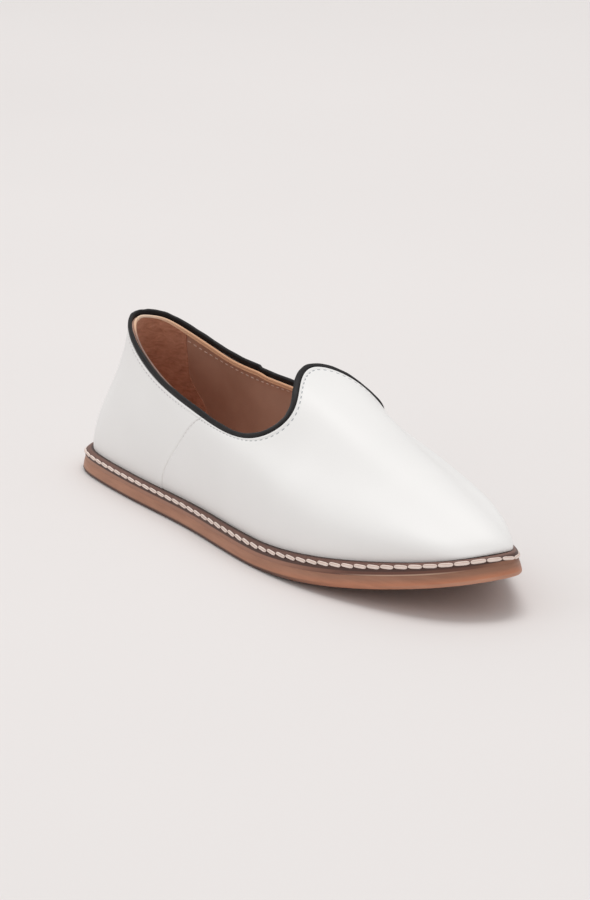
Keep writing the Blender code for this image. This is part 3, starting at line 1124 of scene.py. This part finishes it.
def lining_edge():
    """Pale cut edge along the top of the lining, slightly uneven."""
    places = evenly(BINDING_COLUMNS, PLACES)
    turn = evenly(EDGE_SIDES, 2 * math.pi)
    uneven = waves_at(places, EDGE_WAVES) - NICK_DEPTH * hump(places, NICK_PLACE, NICK_SPREAD)
    tall = edge_height(places)
    inward, upright = rounded_section(turn, EDGE_THICKNESS, 1.0, EDGE_SQUARENESS)
    heights = (lip_height(places) + uneven - tall / 2)[:, None] + tall[:, None] * upright[None, :]
    depths = EDGE_DEPTH + (inward + EDGE_LEAN * (0.5 - upright))
    grid = lining_grid(np.repeat(places[:, None], EDGE_SIDES, 1), heights, depths)
    level = np.tile(0.5 + upright, len(places))
    heel = np.repeat(hump(from_heel(places), 0, EDGE_CREAM_REACH), EDGE_SIDES)
    # Painted shade on the lateral side's edge
    shaded_side = np.repeat(within(places, EDGE_SHADE_SPAN), EDGE_SIDES)
    marks = {"level": level, "heel": heel, "shaded_side": shaded_side}
    add_piece("lining_edge", ring_body(grid), raw_edge(), "tan_leather", sharp=60, **marks)


# Binding


def collar_binding():
    """Black leather rolled over the rim, slimmer on the lateral side, with its end lapped on the medial."""
    places = evenly(BINDING_COLUMNS, PLACES)
    wall = wall_frames(places, np.ones_like(places))
    turn = evenly(BINDING_SIDES, 2 * math.pi)
    across, upright = rounded_section(turn, BINDING_WIDTH, 1.0, BINDING_SQUARENESS)
    past = (places - LAP_PLACE) / LAP_LENGTH
    lap = np.where((past >= 0) & (past < 1), LAP_HEIGHT * (1 - past), 0)
    swell = BINDING_PLUMP + waves_at(places, BINDING_WAVES)
    slimming = BINDING_SLIMMING * within(places, BINDING_SLIM)
    top = GAP + BINDING_HEIGHT * (swell - slimming) + lap
    size = (swell - slimming / 2)[:, None]
    tall = (top - BINDING_FOOT)[:, None]
    proud = BINDING_PROUD + FLANK_PROUD * hump(places, FLANK_PLACE, FLANK_SPREAD)
    middle = wall.points + (proud - BINDING_WIDTH / 2)[:, None] * wall.outward
    middle = middle + (top + BINDING_FOOT)[:, None] / 2 * wall.onward
    grid = middle[:, None] + (size * across)[..., None] * wall.outward[:, None]
    grid = grid + (tall * upright)[..., None] * wall.onward[:, None]
    # Painted sheen: marked on the roll's upper outer face where it runs down the tongue
    down_tongue = hump(places, PAINTED_SHEEN_PLACE, PAINTED_SHEEN_SPREAD)
    rubbed = np.outer(down_tongue, hump(turn, PAINTED_SHEEN_TURN, PAINTED_SHEEN_WIDTH)).ravel()
    add_piece(
        "collar_binding_leather",
        ring_body(grid),
        black_leather(),
        "black_leather",
        "collar_binding",
        sharp=60,
        rubbed=rubbed,
    )


# Sole


def midsole():
    """Leather midsole with a rounded rim that the welt stitches lie on."""
    turn = np.tile(sole_turns(), len(MIDSOLE_EDGE))
    tone = np.repeat([edge.tone for edge in MIDSOLE_EDGE], SOLE_COLUMNS)
    body = layer_body(MIDSOLE_EDGE)
    add_piece("midsole_welt", body, welt_leather(), "brown_leather", "midsole", turn=turn, tone=tone)


def insole():
    """Leather insole with a rolled edge."""
    add_piece("insole_sock", layer_body(INSOLE_EDGE), insole_leather(), "tan_leather", "insole")


def tread_lift(along):
    """Depth of the ripple tread under the sole at places along it."""
    row = along - SOLE_LENGTH / 2
    inside = np.zeros_like(row)
    for start, end in TREAD_ZONES:
        inside = np.where((row > start) & (row < end), 1.0, inside)
    wave = 0.5 - 0.5 * np.cos(2 * math.pi * row / TREAD_PITCH)
    return TREAD_DEPTH * inside * smooth_step((wave - TREAD_LAND) / TREAD_RAMP)


def outsole():
    """Rubber outsole with a rounded edge and a fine ripple tread."""
    points, faces = layer_body(OUTSOLE_EDGE)
    strips = {tuple(reversed(face)) for face in strip_faces(0, SOLE_COLUMNS)}
    faces = [face for face in faces if face not in strips]
    half = SOLE_COLUMNS // 2
    lateral = points[1:half]
    medial = points[SOLE_COLUMNS - 1 : half : -1]
    inward = unit(medial - lateral)
    width = np.linalg.norm(medial - lateral, axis=1, keepdims=True)
    margin = np.minimum(TREAD_MARGIN, TREAD_MARGIN_SHARE * width)
    lift = np.zeros_like(lateral)
    lift[:, 2] = tread_lift(lateral[:, 0])
    columns = [
        lateral + margin * inward,
        lateral + (margin + TREAD_WALL) * inward + lift,
        medial - (margin + TREAD_WALL) * inward + lift,
        medial - margin * inward,
    ]
    first = len(points)
    count = len(lateral)
    lanes = [list(range(1, half))]
    lanes += [[first + lane * count + k for k in range(count)] for lane in range(len(columns))]
    lanes += [list(range(SOLE_COLUMNS - 1, half, -1))]
    for left, right in zip(lanes, lanes[1:]):
        for k in range(count - 1):
            faces.append((left[k], right[k], right[k + 1], left[k + 1]))
    faces.append((0, *[lane[0] for lane in reversed(lanes)]))
    faces.append((half, *[lane[-1] for lane in lanes]))
    body = (np.concatenate([points, *columns]), faces)
    level = np.repeat([edge.height / OUTSOLE_THICKNESS for edge in OUTSOLE_EDGE], SOLE_COLUMNS)
    level = np.concatenate([level, np.ones(len(columns) * count)])
    turn = np.tile(sole_turns(), len(OUTSOLE_EDGE))
    turn = np.concatenate([turn, np.tile(sole_turns()[1:half], len(columns))])
    material = caramel_rubber()
    add_piece("outsole_rubber", body, material, "caramel_rubber", "outsole", level=level, turn=turn)


# Stitches


def stitch_template():
    """Points and faces of one plump stitch of unit half sizes, and how deep in its cleft each point is."""
    turn = evenly(STITCH_SIDES, 2 * math.pi)
    cleft = hump(turn, math.pi / 2, CLEFT_SPREAD)
    stops = np.sin(np.linspace(-1, 1, STITCH_RINGS + 2)[1:-1] * math.pi / 2)
    points = [(-1.0, 0.0, 0.0)]
    for stop in stops:
        girth = (1 - abs(stop) ** STITCH_FULLNESS) ** 0.5
        for angle, depth in zip(turn, cleft):
            upright = (1 - STITCH_CLEFT * depth) * math.sin(angle)
            points.append((stop, girth * math.cos(angle), girth * upright))
    points.append((1.0, 0.0, 0.0))
    faces = []
    last = len(points) - 1
    for k in range(STITCH_SIDES):
        after = (k + 1) % STITCH_SIDES
        faces.append((0, 1 + after, 1 + k))
        for ring in range(STITCH_RINGS - 1):
            low = 1 + ring * STITCH_SIDES
            faces.append((low + k, low + after, low + STITCH_SIDES + after, low + STITCH_SIDES + k))
        low = last - STITCH_SIDES
        faces.append((low + k, low + after, last))
    depths = np.concatenate([[0.0], np.tile(cleft, STITCH_RINGS), [0.0]])
    return np.array(points), faces, depths


def stitch_row(kind, middles, along, up, thickness=None):
    """Points and faces of a row of stitches, each lying along a direction with its top facing up."""
    shape, pattern = stitch_template()[:2]
    girth = np.ones((len(middles), 1)) if thickness is None else thickness[:, None]
    across = girth * unit(np.cross(up, along))
    axes = np.stack([kind.length / 2 * along, kind.width / 2 * across, kind.height / 2 * girth * up], axis=1)
    points = middles[:, None, :] + np.einsum("pk,skx->spx", shape, axes)
    faces = []
    for k in range(len(middles)):
        faces += [tuple(k * len(shape) + corner for corner in face) for face in pattern]
    return points.reshape(-1, 3), faces


def stitch_clefts(body):
    """How deep in its stitch's cleft each point of a row is."""
    depths = stitch_template()[2]
    return np.tile(depths, len(body[0]) // len(depths))


def joined(*bodies):
    """Several bodies as one mesh."""
    points = np.concatenate([body[0] for body in bodies])
    faces = []
    first = 0
    for body in bodies:
        faces += [tuple(first + corner for corner in face) for face in body[1]]
        first += len(body[0])
    return points, faces


def even_stops(path, stops, pitch):
    """Stops along a path at an even pitch in metres."""
    travelled = np.concatenate([[0], np.cumsum(np.linalg.norm(np.diff(path, axis=0), axis=1))])
    count = max(1, round(travelled[-1] / pitch))
    return np.interp((np.arange(count) + 0.5) * travelled[-1] / count, travelled, stops)


def welt_column(name, angles):
    """A column of the welt stitches' table at angles of the outline."""
    values = [getattr(row, name) for row in WELT_ROWS]
    return np.interp(angles % 360, [row.angle for row in WELT_ROWS], values)


def welt_stitch_line(angles):
    """The line round the welt that its stitches lie along."""
    return sole_ring(angles, WELT_STITCH_INSET, MIDSOLE_TOP - welt_column("drop", angles))


def welt_stitches():
    """Plump cream stitches round the welt, slanted along the sides."""
    fine = np.linspace(0, 360, WELT_STEPS + 1)
    angles = even_stops(welt_stitch_line(fine), fine, WELT_STITCH.pitch)
    middles = welt_stitch_line(angles)
    along = unit(welt_stitch_line(angles + ANGLE_STEP) - welt_stitch_line(angles - ANGLE_STEP))
    outward = unit(sole_ring(angles, 0, MIDSOLE_TOP) - sole_ring(angles, LENGTH_STEP, MIDSOLE_TOP))
    level = np.cross(outward, along)
    up = math.cos(WELT_STITCH_TILT) * level * np.sign(level[:, 2:]) + math.sin(WELT_STITCH_TILT) * outward
    up = unit(up)
    slant = -np.radians(welt_column("slant", angles))
    across = np.cross(up, along)
    along = np.cos(slant)[:, None] * along + np.sin(slant)[:, None] * across
    body = stitch_row(WELT_STITCH, middles, along, up, welt_column("size", angles))
    material = thread("cream_thread", (243, 227, 218), (198, 171, 159))
    add_piece("welt_stitches", body, material, "white_leather", sharp=60, shade=stitch_clefts(body))


def wall_row(kind, places, shares, depth, facing=1):
    """A row of stitches on the wall along places and shares, facing outwards (1) or inwards (-1)."""
    wall = wall_frames(places, shares)
    line = unit(np.gradient(wall.points, axis=0))
    return stitch_row(kind, wall.points - depth * wall.outward, line, facing * wall.outward)


def paired_rows(kind, places, shares, depth_at, facing=1):
    """A row of stitches along places and shares of the wall, and its mirror on the shoe's other side."""
    steps = np.arange(len(places))
    rows = []
    for path in (places, PLACES - places):
        stops = even_stops(wall_points(path, shares), steps, kind.pitch)
        at_places = np.interp(stops, steps, path)
        at_shares = np.interp(stops, steps, shares)
        rows.append(wall_row(kind, at_places, at_shares, depth_at(at_places, at_shares)[:, None], facing))
    return joined(*rows)


def collar_stitches():
    """Topstitch row under the binding, grey-blue on the tongue and paler elsewhere."""

    def row_shares(places):
        return 1 - STITCH_DROP / wall_paces(places)[1]

    fine = np.linspace(0, PLACES, COLLAR_STEPS + 1)
    places = even_stops(wall_points(fine, row_shares(fine)), fine, COLLAR_STITCH.pitch)
    shares = row_shares(places)
    depth = COLLAR_STITCH_DEPTH - soft_relief(places, shares)
    body = wall_row(COLLAR_STITCH, places, shares, depth[:, None])
    material = thread("grey_thread", (226, 223, 221), (170, 175, 179))
    greyness = hump(places, PLACES / 2, COLLAR_GREY_REACH)
    shade = np.repeat(greyness, len(body[0]) // len(places))
    add_piece("collar_stitches", body, material, "white_leather", sharp=60, shade=shade)


def seam_stitches():
    """Small stitches along the upper part of both quarter seams."""

    def depth_at(places, shares):
        return SEAM_STITCH_DEPTH - soft_relief(places, shares)

    shares = np.linspace(SEAM_STITCH_START, SEAM_STITCH_END, ROW_STEPS)
    body = paired_rows(SEAM_STITCH, seam_place(shares), shares, depth_at)
    material = thread("seam_thread", (226, 223, 221), (208, 205, 204))
    add_piece("seam_stitches", body, material, "white_leather", sharp=60, shade=stitch_clefts(body))


def lining_stitches():
    """Pale stitch row inside the collar on both sides."""

    def depth_at(places, shares):
        return LINING_FACE + lip_flare((shares - 1) * wall_paces(places)[1])

    places = np.linspace(LINING_ROW[0].place, LINING_ROW[-1].place, ROW_STEPS)
    shares = np.interp(places, [point.place for point in LINING_ROW], [point.share for point in LINING_ROW])
    body = paired_rows(LINING_STITCH, places, shares, depth_at, facing=-1)
    material = thread("lining_thread", (246, 224, 210), (214, 182, 164))
    add_piece("lining_stitches", body, material, "tan_leather", sharp=60, shade=stitch_clefts(body))


def build_shoe():
    """All pieces of the shoe."""
    upper_leather()
    lining()
    heel_counter()
    lining_edge()
    collar_binding()
    midsole()
    insole()
    outsole()
    welt_stitches()
    collar_stitches()
    seam_stitches()
    lining_stitches()


# Setting


def add_floor():
    """Pale floor, wide enough to fill the view."""
    mesh = bpy.data.meshes.new("floor")
    reach = FLOOR_REACH
    corners = [(-reach, -reach, 0), (reach, -reach, 0), (reach, reach, 0), (-reach, reach, 0)]
    mesh.from_pydata(corners, [], [(0, 1, 2, 3)])
    mesh.materials.append(floor_paper())
    floor = bpy.data.objects.new("floor", mesh)
    bpy.context.scene.collection.objects.link(floor)


def view_direction():
    """Unit direction from the shoe back to the camera."""
    reach = math.cos(CAMERA_ELEVATION)
    towards = (math.sin(CAMERA_AZIMUTH) * reach, -math.cos(CAMERA_AZIMUTH) * reach)
    return Vector((*towards, math.sin(CAMERA_ELEVATION)))


def stand(thing, place, facing):
    """Puts a camera or light into the scene at a place, facing along a direction."""
    thing.location = place
    thing.rotation_mode = "QUATERNION"
    thing.rotation_quaternion = facing.to_track_quat("-Z", "Y")
    bpy.context.scene.collection.objects.link(thing)


def add_camera():
    """Camera at the photograph's angle to the shoe."""
    back = view_direction()
    camera = bpy.data.objects.new("camera", bpy.data.cameras.new("camera"))
    camera.data.lens = CAMERA_LENS
    camera.data.sensor_width = CAMERA_SENSOR
    stand(camera, Vector(CAMERA_AIM) + CAMERA_DISTANCE * back, -back)
    bpy.context.scene.camera = camera


def add_softbox(row, direction):
    """A square soft light that faces the shoe from a direction."""
    lamp = bpy.data.lights.new(row.name, "AREA")
    lamp.size = row.size
    lamp.energy = row.power
    lamp.color = SOFTBOX_COLOUR
    towards = direction.normalized()
    stand(bpy.data.objects.new(row.name, lamp), SOFTBOX_DISTANCE * towards, -towards)


def add_light():
    """Soft studio light: a pale surround, a large softbox above the shoe and a weaker one at the left."""
    world = bpy.data.worlds.new("pale_surround")
    bpy.context.scene.world = world
    world.use_nodes = True
    world.node_tree.nodes["Background"].inputs["Color"].default_value = SURROUND_COLOUR
    world.node_tree.nodes["Background"].inputs["Strength"].default_value = SURROUND_STRENGTH
    right = Vector((math.cos(CAMERA_AZIMUTH), math.sin(CAMERA_AZIMUTH), 0))
    towards = Vector((math.sin(CAMERA_AZIMUTH), -math.cos(CAMERA_AZIMUTH), 0))
    up = Vector((0, 0, 1))
    for row in SOFTBOXES:
        add_softbox(row, row.towards * towards + row.right * right + row.up * up)
    bpy.context.scene.view_settings.view_transform = "Standard"


add_camera()
build_shoe()
add_floor()
add_light()
